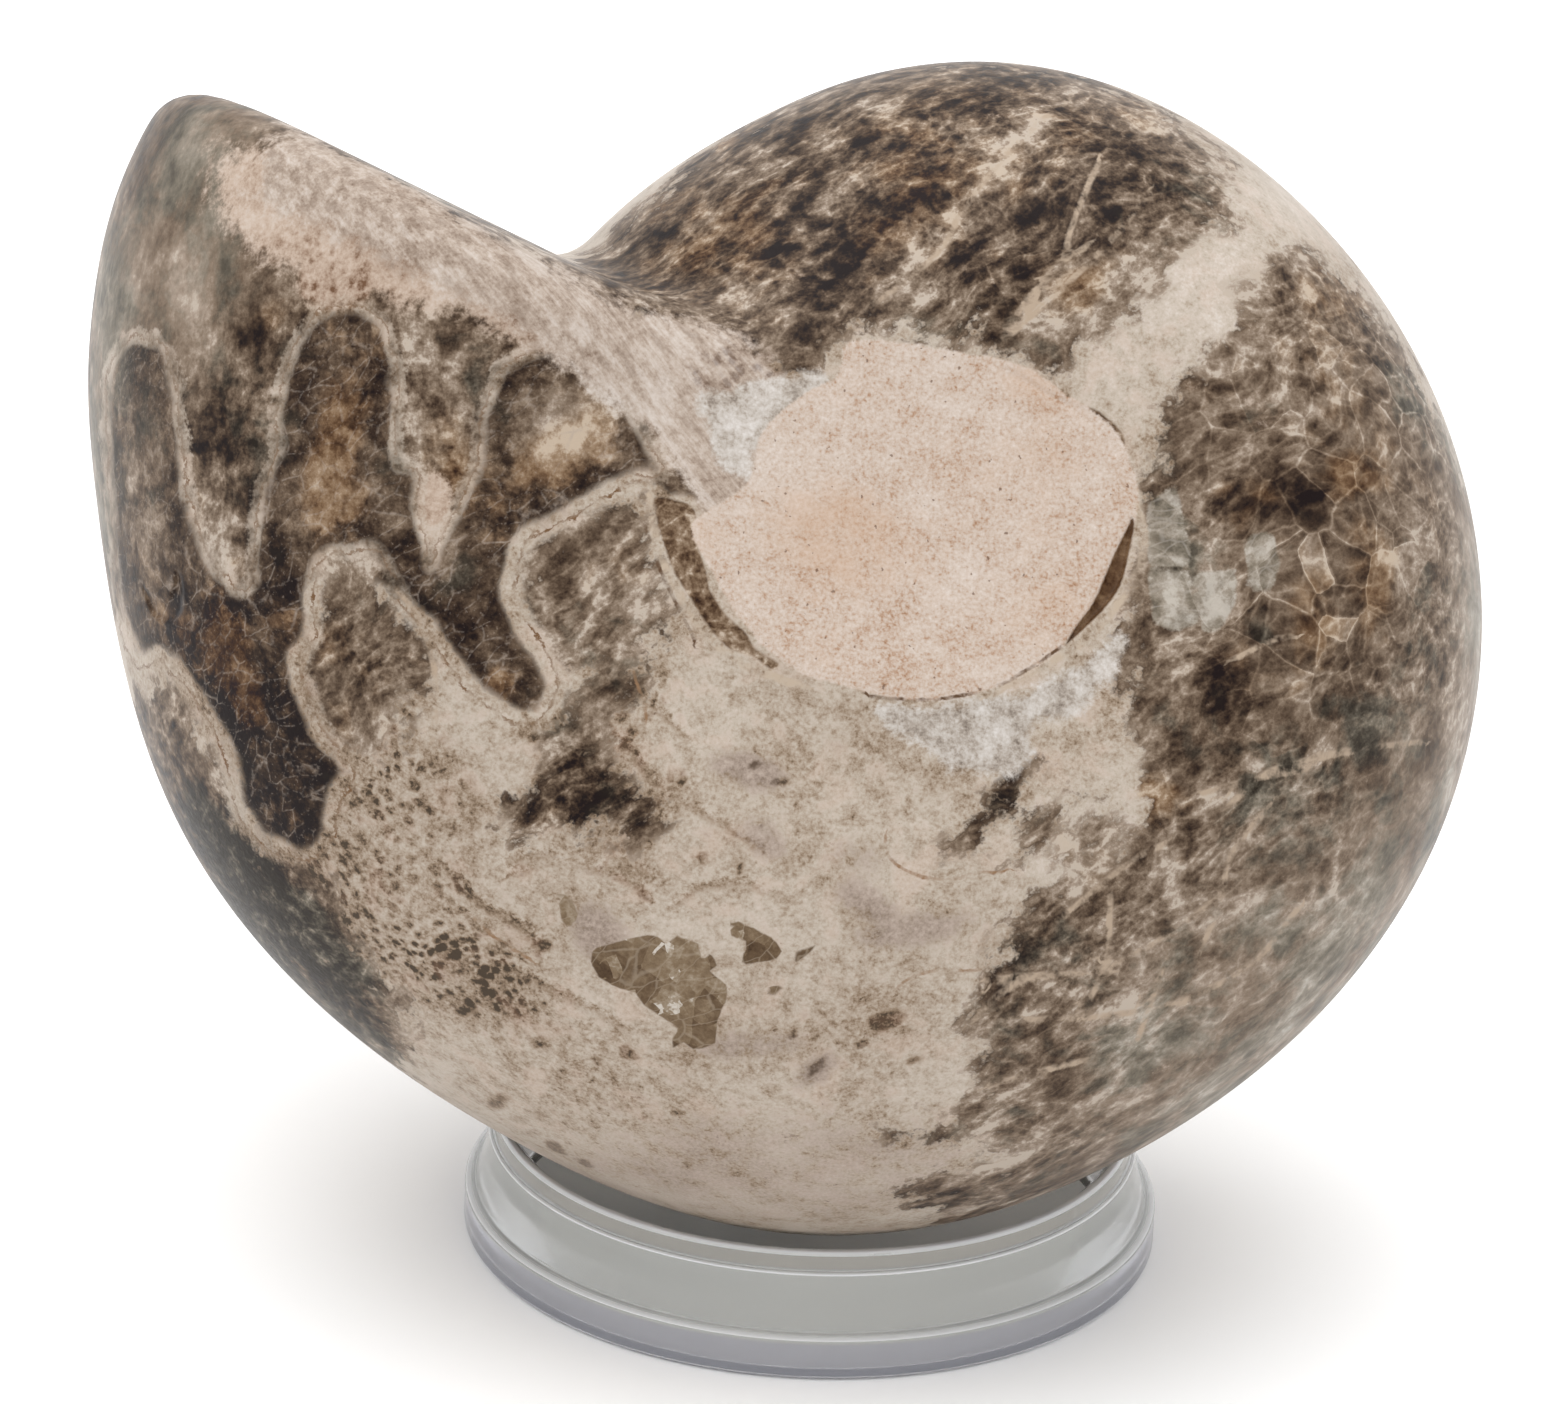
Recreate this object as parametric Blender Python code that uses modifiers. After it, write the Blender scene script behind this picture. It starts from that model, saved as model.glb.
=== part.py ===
"""A polished fossil nautilus shell that leans back in a clear plastic ring stand.

Metres, +Z up. The object's front faces -Y. The origin is the centre of its footprint, on the ground.
"""

from math import acos, cos, degrees, exp, pi, radians, sin

import bmesh
import bpy
import numpy as np

MM = 0.001

# The shell, in millimetres and degrees. Its coil is described in its own frame: a radius from the
# coil's axis, a growth angle (0 left, 90 up, 180 right, 270 down) and a height along the axis.
FIRST_ANGLE = 37.0  # where the last whorl starts, just past the mouth
LAST_ANGLE = 387.0  # where it ends, at the mouth
MOUTH_RADIUS = 60.0  # of the keel, at the mouth
RADIUS_GROWTH = 0.1095  # the keel's radius grows by e to this power in each radian
START_HALF_WIDTH = 27.0
MOUTH_HALF_WIDTH = 40.0
FLANK_INNER_POWER = 2.5  # the flank's bulge is a superellipse with these two powers
FLANK_OUTER_POWER = 2.35
NAVEL_HALF_WIDTH = 15.0  # the filled navel is an oval round the axis
NAVEL_HALF_HEIGHT = 12.2
NAVEL_HEIGHT = 29.8  # of its middle, from the coil's middle plane
NAVEL_TILT_ACROSS = 0.165  # its floor slopes down to the right by this much, and down to the top
NAVEL_TILT_UP = 0.165
NAVEL_DISH = 0.5
NAVEL_DIP_WIDTH = 11.0  # how far from the navel the flank bends to meet it
LIP_ROUNDING = 3.2

# How far the hand-ground keel lies outside a true spiral, at each growth angle.
KEEL_TRIM = [
    (37, 0.0),
    (48, -0.6),
    (68, -1.1),
    (85, -0.5),
    (95, -0.15),
    (145, -0.5),
    (205, 0.2),
    (243, -0.5),
    (275, 0.2),
    (303, -1.2),
    (335, -0.2),
    (360, -0.6),
    (371, 0.4),
    (382, 0.9),
    (390, 0.2),
]

# The mouth's edge as seen along the axis, before it rounds over: a growth angle at each radius.
LIP = [(0, -50), (8, -35), (11.6, -16), (15, 6), (22.5, 18.4), (29, 21.5), (34, 22.5), (46, 23.4), (62, 23.8)]
# The angle at each radius from that edge down to the older whorl.
SLOPE = [(0, 90), (8, 80), (11.6, 62), (15, 39), (20, 21), (29, 10.5), (34, 8.5), (62, 8.5)]
TWIST_POWER = 3  # how fast the growth lines turn radial away from the mouth

# The ring stand, in millimetres: the (radius, height) corners of its outline. From the bevelled
# seat at the top it goes down a collar, a cove and a flange, along the base and up the bore.
RING_OUTLINE = [
    (22.3, 8.9),
    (22.75, 8.9),
    (22.95, 8.7),
    (23.05, 7.65),
    (23.3, 7.4),
    (23.4, 6.4),
    (23.65, 5.2),
    (24.05, 4.2),
    (24.5, 3.45),
    (24.75, 3.2),
    (25.0, 2.8),
    (25.0, 0.4),
    (24.6, 0.0),
    (21.6, 0.0),
    (21.6, 8.2),
]

# How the shell sits in the ring: its axis leans back, and its navel stands over this point.
LEAN = 25.0
AXIS_POINT = (4.5, 4.1, 50.95)

SECTIONS = 74
ROUND_SECTIONS = 3
MOUTH_SECTIONS = 5
NAVEL_STEPS = 4
EDGE_ROUNDS = 16
FLANK_STEPS = 12
RING_STEPS = 96
MERGE_DISTANCE = 0.00001


def along(points, x):
    """A smooth curve through the points, read at x: a cubic whose slopes are those of its neighbours."""
    xs, ys = np.array(points, float).T
    slopes = np.gradient(ys, xs)
    x = min(max(x, xs[0]), xs[-1])
    k = min(int(np.searchsorted(xs, x, side="right")) - 1, len(xs) - 2)
    span = xs[k + 1] - xs[k]
    t = (x - xs[k]) / span
    start = (1 + 2 * t) * (1 - t) ** 2 * ys[k] + t * (1 - t) ** 2 * span * slopes[k]
    return start + t * t * (3 - 2 * t) * ys[k + 1] + t * t * (t - 1) * span * slopes[k + 1]


def navel_radius(angle):
    """From the axis to the navel's edge."""
    across = cos(radians(angle)) / NAVEL_HALF_WIDTH
    up = sin(radians(angle)) / NAVEL_HALF_HEIGHT
    return (across**2 + up**2) ** -0.5


def whorl(grown):
    """The keel's radius and the half width of the whorl, from 0 at its start to 1 at the mouth."""
    angle = FIRST_ANGLE + (LAST_ANGLE - FIRST_ANGLE) * grown
    spiral = MOUTH_RADIUS * np.exp(RADIUS_GROWTH * radians(angle - LAST_ANGLE))
    half_width = START_HALF_WIDTH * (MOUTH_HALF_WIDTH / START_HALF_WIDTH) ** grown
    return spiral + along(KEEL_TRIM, angle), half_width


def bulge(radius, keel, half_width):
    """How far an even flank lies from the coil's middle plane."""
    return half_width * (1 - (radius / keel) ** FLANK_INNER_POWER) ** (1 / FLANK_OUTER_POWER)


def navel_height(radius, angle):
    """The height of the navel's floor, or of its plane further out."""
    turned = radians(angle)
    slope = NAVEL_TILT_ACROSS * cos(turned) - NAVEL_TILT_UP * sin(turned)
    return NAVEL_HEIGHT + radius * slope


def growth_angle(radius, grown, forward):
    """Where a growth line lies at this radius: it follows the lip at the mouth, and is radial elsewhere."""
    lip = along(LIP, radius) - LIP[-1][1]
    foot = lip + along(SLOPE, radius) - SLOPE[-1][1]
    angle = FIRST_ANGLE + (LAST_ANGLE - FIRST_ANGLE) * grown
    angle += foot * (1 - grown) ** TWIST_POWER + lip * grown**TWIST_POWER
    return angle + degrees(forward / max(radius, NAVEL_HALF_HEIGHT))


def section(grown, forward=0.0, inward=0.0):
    """One section of the shell, from the axis in front, over the keel, to the axis behind.

    forward and inward round the mouth's edge over. Gives (radius, growth angle, height) points.
    """
    keel, half_width = whorl(grown)
    keel -= inward
    half_width -= inward
    edge = NAVEL_HALF_HEIGHT
    for _ in range(EDGE_ROUNDS):
        edge = (edge + navel_radius(growth_angle(edge, grown, forward))) / 2
    front = []
    for step in range(1, NAVEL_STEPS):
        radius = edge * step / NAVEL_STEPS
        angle = growth_angle(radius, grown, forward)
        dish = NAVEL_DISH * (1 - (radius / edge) ** 2)
        front.append((radius, angle, navel_height(radius, angle) - dish))
    drop = bulge(edge, keel, half_width) - navel_height(edge, growth_angle(edge, grown, forward))
    widest = acos((edge / keel) ** (FLANK_INNER_POWER / 2))
    for step in range(FLANK_STEPS):
        radius = keel * cos(widest * (1 - step / FLANK_STEPS)) ** (2 / FLANK_INNER_POWER)
        dip = drop * exp(-(((radius - edge) / NAVEL_DIP_WIDTH) ** 2))
        front.append((radius, growth_angle(radius, grown, forward), bulge(radius, keel, half_width) - dip))
    behind = [(radius, angle, -height) for radius, angle, height in reversed(front)]
    return front + [(keel, growth_angle(keel, grown, forward), 0.0)] + behind


def in_space(points):
    """(radius, growth angle, height) to metres: x across, z up, and the axis along -y."""
    radius, angle, height = np.array(points, float).T
    turned = np.radians(angle)
    return np.stack([-radius * np.cos(turned), -height, radius * np.sin(turned)], 1) * MM


def shell_rows():
    """All sections as rows of points, in a closed loop: the whorl, its rounded lip, and the mouth."""
    rows = [in_space(section(i / SECTIONS)) for i in range(SECTIONS + 1)]
    for i in range(1, ROUND_SECTIONS + 1):
        turned = pi / 2 * i / ROUND_SECTIONS
        rows.append(in_space(section(1.0, LIP_ROUNDING * sin(turned), LIP_ROUNDING * (1 - cos(turned)))))
    last, first = rows[-1], rows[0]
    for i in range(1, MOUTH_SECTIONS + 1):
        part = i / (MOUTH_SECTIONS + 1)
        rows.append(last + (first - last) * part)
    return rows


def add_fossil(collection):
    """The shell, lofted through its sections and closed at the axis on both sides."""
    mesh = bmesh.new()
    rows = [[mesh.verts.new(point) for point in row] for row in shell_rows()]
    middle = (NAVEL_HEIGHT - NAVEL_DISH) * MM
    front = mesh.verts.new((0, -middle, 0))
    back = mesh.verts.new((0, middle, 0))
    for row, following in zip(rows, rows[1:] + rows[:1]):
        mesh.faces.new((front, row[0], following[0]))
        for a, b, c, d in zip(row, row[1:], following[1:], following):
            mesh.faces.new((a, b, c, d))
        mesh.faces.new((row[-1], back, following[-1]))
    bmesh.ops.recalc_face_normals(mesh, faces=mesh.faces)
    fossil = new_object("fossil", mesh, collection)
    fossil.rotation_euler = (-radians(LEAN), 0, 0)
    fossil.location = [value * MM for value in AXIS_POINT]
    fossil.data.materials.append(
        material("polished stone", colour=(0.42, 0.34, 0.27), roughness=0.35)
    )
    return fossil


def add_ring_stand(collection):
    """The ring: its outline at +X, down the outer side and up the bore, turned about Z."""
    mesh = bmesh.new()
    points = [mesh.verts.new((radius * MM, 0, height * MM)) for radius, height in RING_OUTLINE]
    for a, b in zip(points, points[1:] + points[:1]):
        mesh.edges.new((a, b))
    ring = new_object("ring_stand", mesh, collection)
    turn = ring.modifiers.new("turn", "SCREW")
    turn.axis = "Z"
    turn.angle = 2 * pi
    turn.steps = RING_STEPS
    turn.render_steps = RING_STEPS
    turn.use_merge_vertices = True
    turn.merge_threshold = MERGE_DISTANCE
    turn.use_smooth_shade = True
    ring.data.materials.append(
        material("clear plastic", colour=(0.86, 0.86, 0.9), roughness=0.12, see_through=0.9)
    )
    return ring


def material(name, colour, roughness, see_through=0.0):
    """A plain material: a colour, a roughness and how clear it is."""
    made = bpy.data.materials.new(name)
    made.use_nodes = True
    made.diffuse_color = (*colour, 1)
    shader = made.node_tree.nodes["Principled BSDF"]
    shader.inputs["Base Color"].default_value = (*colour, 1)
    shader.inputs["Roughness"].default_value = roughness
    shader.inputs["Metallic"].default_value = 0
    shader.inputs["Transmission Weight"].default_value = see_through
    return made


def new_object(name, mesh, collection):
    """An object of this name from a bmesh, shaded smooth."""
    data = bpy.data.meshes.new(name)
    mesh.to_mesh(data)
    mesh.free()
    data.shade_smooth()
    made = bpy.data.objects.new(name, data)
    collection.objects.link(made)
    return made


def corners(objects):
    """The lowest and the highest corner of the objects' box, in the scene."""
    bpy.context.view_layer.update()
    graph = bpy.context.evaluated_depsgraph_get()
    points = []
    for made in objects:
        shape = made.evaluated_get(graph)
        points += [shape.matrix_world @ vertex.co for vertex in shape.data.vertices]
    return np.min(points, axis=0), np.max(points, axis=0)


def centre_over_origin(objects):
    """Slides everything together, so that the middle of its footprint is the origin."""
    lowest, highest = corners(objects)
    middle = (lowest + highest) / 2
    for made in objects:
        made.location.x -= middle[0]
        made.location.y -= middle[1]


def main():
    for old in list(bpy.data.objects):
        bpy.data.objects.remove(old)
    collection = bpy.data.collections.new("fossil ammonite")
    bpy.context.scene.collection.children.link(collection)
    centre_over_origin([add_fossil(collection), add_ring_stand(collection)])


main()
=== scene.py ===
"""The looks of a polished fossil shell that leans back in a clear plastic ring stand."""

from math import cos, pi, radians, sin

import bmesh
import bpy
import numpy as np
from mathutils import Matrix, Vector, noise


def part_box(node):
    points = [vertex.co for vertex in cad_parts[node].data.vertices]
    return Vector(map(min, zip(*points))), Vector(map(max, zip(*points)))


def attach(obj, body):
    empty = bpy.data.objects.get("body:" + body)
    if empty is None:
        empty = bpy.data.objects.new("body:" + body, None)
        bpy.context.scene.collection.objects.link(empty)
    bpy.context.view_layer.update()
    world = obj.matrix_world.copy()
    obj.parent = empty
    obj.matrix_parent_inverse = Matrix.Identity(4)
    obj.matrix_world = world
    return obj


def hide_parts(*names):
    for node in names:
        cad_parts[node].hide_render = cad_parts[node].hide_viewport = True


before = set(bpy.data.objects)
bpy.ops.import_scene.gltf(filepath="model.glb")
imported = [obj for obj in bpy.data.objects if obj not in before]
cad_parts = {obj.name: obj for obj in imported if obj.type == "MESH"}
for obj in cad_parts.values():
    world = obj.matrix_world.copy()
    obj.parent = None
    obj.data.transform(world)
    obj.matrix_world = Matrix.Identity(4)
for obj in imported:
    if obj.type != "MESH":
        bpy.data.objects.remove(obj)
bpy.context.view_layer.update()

MM = 0.001

# --- The shell's shape, as in the CAD model ---
# Millimetres and degrees, in the coil's own frame: a point there has a radius from the coil's axis, a
# growth angle (0 left, 90 up) and a height along the axis.
FIRST_ANGLE = 37.0
LAST_ANGLE = 387.0
MOUTH_RADIUS = 60.0
RADIUS_GROWTH = 0.1095
START_HALF_WIDTH = 27.0
MOUTH_HALF_WIDTH = 40.0
FLANK_INNER_POWER = 2.5
FLANK_OUTER_POWER = 2.35
NAVEL_HALF_WIDTH = 15.0
NAVEL_HALF_HEIGHT = 12.2
NAVEL_HEIGHT = 29.8
NAVEL_TILT_ACROSS = 0.165
NAVEL_TILT_UP = 0.165
NAVEL_DISH = 0.5
NAVEL_DIP_WIDTH = 11.0
LIP_ROUNDING = 3.2
KEEL_TRIM = [
    (37, 0.0), (48, -0.6), (68, -1.1), (85, -0.5), (95, -0.15), (145, -0.5), (205, 0.2), (243, -0.5),
    (275, 0.2), (303, -1.2), (335, -0.2), (360, -0.6), (371, 0.4), (382, 0.9), (390, 0.2),
]
LIP = [
    (0, -50), (8, -35), (11.6, -16), (15, 6), (22.5, 18.4), (29, 21.5), (34, 22.5), (46, 23.4), (62, 23.8),
]
SLOPE = [(0, 90), (8, 80), (11.6, 62), (15, 39), (20, 21), (29, 10.5), (34, 8.5), (62, 8.5)]
TWIST_POWER = 3
LEAN = 25.0
AXIS_POINT = (4.5, 4.1, 50.95)  # from the middle of the ring's base

SECTIONS = 360
ROUND_SECTIONS = 10
MOUTH_SECTIONS = 24
NAVEL_STEPS = 16
FLANK_STEPS = 64
EDGE_ROUNDS = 16
SAME_POINT = 0.02 * MM
VOXEL = 0.66
EVEN_ROUNDS = 6
FOOT_ROUNDS = 60  # extra smoothing where the lip's slope meets the older whorl
FOOT_WIDTH = 2.2
FLANK_HEIGHT = 8  # the flanks are further than this from the shell's middle plane
GAP_DEPTH = 0.4
BAND_DEPTH = 0.12
GAP_REACH = 0.6  # how far round a gap the mesh is divided
BAND_REACH = 0.5
DIVISIONS = 2


def along(points, x):
    """A smooth curve through the points, read at x: a cubic whose slopes are those of its neighbours."""
    xs, ys = np.array(points, float).T
    slopes = np.gradient(ys, xs)
    x = np.clip(x, xs[0], xs[-1])
    k = np.clip(np.searchsorted(xs, x, side="right") - 1, 0, len(xs) - 2)
    span = xs[k + 1] - xs[k]
    t = (x - xs[k]) / span
    start = (1 + 2 * t) * (1 - t) ** 2 * ys[k] + t * (1 - t) ** 2 * span * slopes[k]
    return start + t * t * (3 - 2 * t) * ys[k + 1] + t * t * (t - 1) * span * slopes[k + 1]


def navel_radius(angle):
    across = np.cos(np.radians(angle)) / NAVEL_HALF_WIDTH
    up = np.sin(np.radians(angle)) / NAVEL_HALF_HEIGHT
    return (across**2 + up**2) ** -0.5


def whorl(grown):
    angle = FIRST_ANGLE + (LAST_ANGLE - FIRST_ANGLE) * grown
    spiral = MOUTH_RADIUS * np.exp(RADIUS_GROWTH * radians(angle - LAST_ANGLE))
    half_width = START_HALF_WIDTH * (MOUTH_HALF_WIDTH / START_HALF_WIDTH) ** grown
    return spiral + along(KEEL_TRIM, angle), half_width


def bulge(radius, keel, half_width):
    even = np.maximum(1 - (radius / keel) ** FLANK_INNER_POWER, 0)
    return half_width * even ** (1 / FLANK_OUTER_POWER)


def navel_height(radius, angle):
    turned = np.radians(angle)
    return NAVEL_HEIGHT + radius * (NAVEL_TILT_ACROSS * np.cos(turned) - NAVEL_TILT_UP * np.sin(turned))


def growth_angle(radius, grown, forward):
    lip = along(LIP, radius) - LIP[-1][1]
    foot = lip + along(SLOPE, radius) - SLOPE[-1][1]
    angle = FIRST_ANGLE + (LAST_ANGLE - FIRST_ANGLE) * grown
    angle = angle + foot * (1 - grown) ** TWIST_POWER + lip * grown**TWIST_POWER
    return angle + np.degrees(forward / np.maximum(radius, NAVEL_HALF_HEIGHT))


def section(grown, forward=0.0, inward=0.0):
    """One section of the shell, from the axis in front, over the keel, to the axis behind."""
    keel, half_width = whorl(grown)
    keel -= inward
    half_width -= inward
    edge = NAVEL_HALF_HEIGHT
    for _ in range(EDGE_ROUNDS):
        edge = (edge + navel_radius(growth_angle(edge, grown, forward))) / 2
    floor = edge * np.arange(NAVEL_STEPS) / NAVEL_STEPS
    floor_angle = growth_angle(floor, grown, forward)
    floor_height = navel_height(floor, floor_angle) - NAVEL_DISH * (1 - (floor / edge) ** 2)
    drop = bulge(edge, keel, half_width) - navel_height(edge, growth_angle(edge, grown, forward))
    widest = np.arccos((edge / keel) ** (FLANK_INNER_POWER / 2))
    flank = keel * np.cos(widest * (1 - np.arange(FLANK_STEPS) / FLANK_STEPS)) ** (2 / FLANK_INNER_POWER)
    dip = drop * np.exp(-(((flank - edge) / NAVEL_DIP_WIDTH) ** 2))
    radius = np.concatenate([floor, flank])
    height = np.concatenate([floor_height, bulge(flank, keel, half_width) - dip])
    radius = np.concatenate([radius, [keel], radius[::-1]])
    height = np.concatenate([height, [0.0], -height[::-1]])
    turned = np.radians(growth_angle(radius, grown, forward))
    return np.stack([-radius * np.cos(turned), radius * np.sin(turned), height], 1)


def shell_rows():
    """All sections in a closed loop: the whorl, its rounded lip, and the mouth. Millimetres, coil frame."""
    rows = [section(i / SECTIONS) for i in range(SECTIONS + 1)]
    for turned in np.linspace(0, pi / 2, ROUND_SECTIONS + 1)[1:]:
        rows.append(section(1.0, LIP_ROUNDING * sin(turned), LIP_ROUNDING * (1 - cos(turned))))
    last = rows[-1]
    for part in np.linspace(0, 1, MOUTH_SECTIONS + 2)[1:-1]:
        rows.append(last + (rows[0] - last) * part)
    return rows


def coil_axes():
    """The coil frame's x, up and axis directions, as columns."""
    lean = radians(LEAN)
    return np.array([(1, 0, 0), (0, sin(lean), -cos(lean)), (0, cos(lean), sin(lean))])


def ring_base():
    """The middle of the ring's base, in metres."""
    low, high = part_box("ring_stand")
    return Vector(((low.x + high.x) / 2, (low.y + high.y) / 2, low.z))


def coil_origin():
    return np.array(ring_base()) / MM + AXIS_POINT


def to_world(points):
    return (points @ coil_axes().T + coil_origin()) * MM


def to_coil(points):
    return (points / MM - coil_origin()) @ coil_axes()


def new_object(name, data):
    made = bpy.data.objects.new(name, data)
    bpy.context.scene.collection.objects.link(made)
    return made


def positions(mesh):
    flat = np.zeros(len(mesh.vertices) * 3)
    mesh.vertices.foreach_get("co", flat)
    return flat.reshape(-1, 3)


def skin(name, points, count, closed):
    """A mesh on a closed loop of rows of so many points. The rows are closed too, or share their ends."""
    faces = []
    for here in range(0, len(points), count):
        there = (here + count) % len(points)
        for j in range(count if closed else count - 1):
            k = (j + 1) % count
            faces.append((here + j, there + j, there + k, here + k))
    mesh = bpy.data.meshes.new(name)
    mesh.from_pydata(points.tolist(), [], faces)
    made = bmesh.new()
    made.from_mesh(mesh)
    if not closed:
        bmesh.ops.remove_doubles(made, verts=made.verts, dist=SAME_POINT)
    bmesh.ops.recalc_face_normals(made, faces=made.faces)
    made.to_mesh(mesh)
    made.free()
    return mesh


def loft():
    """The shell as one even mesh of small quads."""
    rows = shell_rows()
    rough = skin("loft", to_world(np.concatenate(rows)), len(rows[0]), closed=False)
    guide = new_object("loft", rough)
    even = guide.modifiers.new("even", "REMESH")
    even.mode = "VOXEL"
    even.voxel_size = VOXEL * MM
    graph = bpy.context.evaluated_depsgraph_get()
    made = bpy.data.meshes.new_from_object(guide.evaluated_get(graph))
    bpy.data.objects.remove(guide)
    bpy.data.meshes.remove(rough)
    return made


def smooth(mesh, points, rounds, weight):
    """Moves each point towards the mean of its neighbours, by its weight, so many times."""
    edges = np.zeros(len(mesh.edges) * 2, np.int64)
    mesh.edges.foreach_get("vertices", edges)
    ends = np.concatenate([edges[0::2], edges[1::2]])
    others = np.concatenate([edges[1::2], edges[0::2]])
    neighbours = np.bincount(ends, minlength=len(points))
    for _ in range(rounds):
        mean = np.stack([np.bincount(ends, points[others, k], len(points)) for k in range(3)], 1)
        points = points + (mean / neighbours[:, None] - points) * weight[:, None]
    return points


# --- The stone's markings ---
# Points in millimetres on its front flank: x to the right and u up from the coil's axis, as seen along
# the axis. The back flank has the same sutures, and the other patches turned.

# The last chamber: in along the suture nearest the mouth, and back to the keel along the one before.
CHAMBER = [
    (-52, -10.5), (-53.5, -6.5), (-54, -1.5), (-54.5, 4), (-54.5, 8.5), (-53, 10), (-51.5, 10), (-50, 8.5),
    (-49, 4), (-48.5, -0.5), (-47, -4), (-44.5, -7), (-43, -6.5), (-43, -3.5), (-42.5, -0.5), (-41.5, 2),
    (-41.5, 5.5), (-40.5, 9), (-39, 11), (-37.5, 11.5), (-36, 11), (-34.5, 9), (-34, 5.5), (-34, 2.5),
    (-33.5, 1), (-32.5, 0.5), (-32, -3), (-31, -5.5), (-30, -3), (-29, -1), (-28, 1.5), (-28, 4), (-27, 7),
    (-25.5, 8.5), (-23.5, 9), (-21.5, 9), (-19.5, 7.5), (-18, 4.5), (-16.5, 2), (-18.5, 1.5), (-22.5, -1),
    (-25, -2.5), (-26, -4.5), (-26, -7.5), (-24.5, -10), (-23, -12.5), (-24, -14.5), (-26, -14),
    (-28.5, -12), (-30.5, -9), (-33, -6.5), (-34.5, -4), (-36.5, -4), (-38.5, -4.5), (-39.5, -6.5),
    (-39.5, -9.5), (-40.5, -11.5), (-39.5, -14.5), (-38, -17), (-36.5, -18.5), (-37.5, -20.5),
    (-38.5, -23.5), (-41.5, -23), (-43.5, -21), (-44.5, -17), (-46.5, -14), (-48, -12), (-50, -10.5),
]

# The body chamber, filled with grey-brown sediment. It runs on under the last chamber's saddles.
BODY_CHAMBER = [
    (-58, -6), (-59, 12), (-56, 26), (-50, 32), (-38, 26), (-28, 20), (-22, 15), (-15, 6), (-11, -1),
    (-16, 1), (-22, 0), (-31, -7), (-38, -6), (-44.5, -9), (-54, -8),
]

# Where the calcite is brown and veined.
BROWN = {
    "top": [
        (-24, 14), (-22.5, 18), (-19, 22), (-12.5, 28.5), (-4, 33), (5.5, 34), (13.5, 32), (21, 26),
        (20, 20.5), (15.5, 15.5), (11.5, 11.5), (9, 10), (4.5, 11.5), (-1, 12), (-5.5, 11), (-6.5, 9),
        (-11.5, 8.5), (-14.5, 8), (-18, 10), (-21, 12),
    ],
    "right": [
        (16.2, 7), (20, 13.2), (26, 21), (33.5, 14), (39, 5.5), (43, -2.5), (43, -12.5), (40, -22),
        (36, -31), (27, -40), (18.5, -46), (9, -48), (4, -47), (2, -45), (5.5, -43), (8, -42), (5, -41.3),
        (0.5, -41), (4.5, -39), (6, -37.5), (5, -36), (6.5, -34.5), (5, -33.5), (6, -31), (8, -27),
        (10.5, -24), (13.5, -22.5), (15, -20.5), (17, -18.5), (15.5, -17), (15.5, -14.5), (14.5, -9),
        (15.8, -3), (15.6, 3.5),
    ],
    "second saddle": [
        (-39, -5.5), (-36.5, -4.5), (-35, -5.5), (-33, -8), (-31.5, -9.5), (-31, -12.5), (-32.5, -16),
        (-35.5, -18), (-38, -16.5), (-39, -14), (-39.5, -11.5), (-39, -8.5),
    ],
    "third saddle": [
        (-25, -4.5), (-22.5, -2), (-19.5, -0.5), (-17, -0.5), (-15.5, -4), (-15.5, -7), (-17, -9.5),
        (-20, -11.5), (-22.5, -12), (-23.5, -10), (-25, -7.5),
    ],
    "triangle": [
        (-24, -22), (-25.2, -20), (-24, -18.7), (-22.5, -16.5), (-20.5, -13.3), (-18.7, -13.3),
        (-18.2, -16), (-17.5, -18), (-16.7, -19.5), (-15.5, -21), (-15.7, -22.8), (-17.3, -22.7),
        (-19.5, -21.5), (-22, -22),
    ],
    "lower left": [
        (-51, -13), (-48.5, -13), (-46.5, -16), (-44.5, -19), (-43.5, -22), (-41.5, -24), (-39, -24.5),
        (-37, -27), (-35.5, -30), (-32.5, -34), (-34, -40), (-42, -40), (-50, -30), (-55, -20), (-56, -14),
    ],
    "first streak": [(3.5, -22), (5, -19.5), (7.5, -16.5), (9, -16.5), (7.3, -19), (5, -21.8)],
    "second streak": [(7.5, -23.3), (8.8, -20.5), (10.8, -18.3), (12, -18.3), (9.8, -21.7)],
    "third streak": [(9.7, -22.5), (11.5, -20), (14.5, -18.3), (16, -19.5), (14, -22), (11.5, -23)],
    "below the third saddle": [(-22, -13), (-19, -11), (-17, -12), (-19, -15), (-21.5, -18), (-23.5, -17)],
}

NAVEL = [
    (-14, -1.5), (-13, -4), (-11.5, -6.5), (-9.5, -9), (-6.5, -11), (-2.5, -12), (1.5, -12.5), (6, -11.5),
    (9.5, -9.5), (12, -6.5), (14, -3), (15.3, 1), (15, 3.5), (13.5, 6.5), (10.5, 8.5), (7, 10.5), (3, 11),
    (-1, 11.5), (-4.5, 11.2), (-5, 9), (-8, 7), (-10, 4.5), (-10.5, 1.5),
]
# The white, sugary calcite below the navel and at its upper left.
GRANULAR = [
    [(-2.5, -13), (2, -12.8), (6.5, -12), (10, -10.5), (13, -8.5), (14.5, -8), (13.5, -10.5), (12, -12.5),
     (9.5, -13.5), (8.5, -16), (7.5, -17), (4, -17), (1.5, -15.5), (-1, -14)],
    [(-14, 7), (-10, 8), (-7.5, 9), (-5, 8.5), (-5.5, 7), (-8, 5), (-10, 3.5), (-10.5, 1.5), (-12.5, 3)],
]
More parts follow.
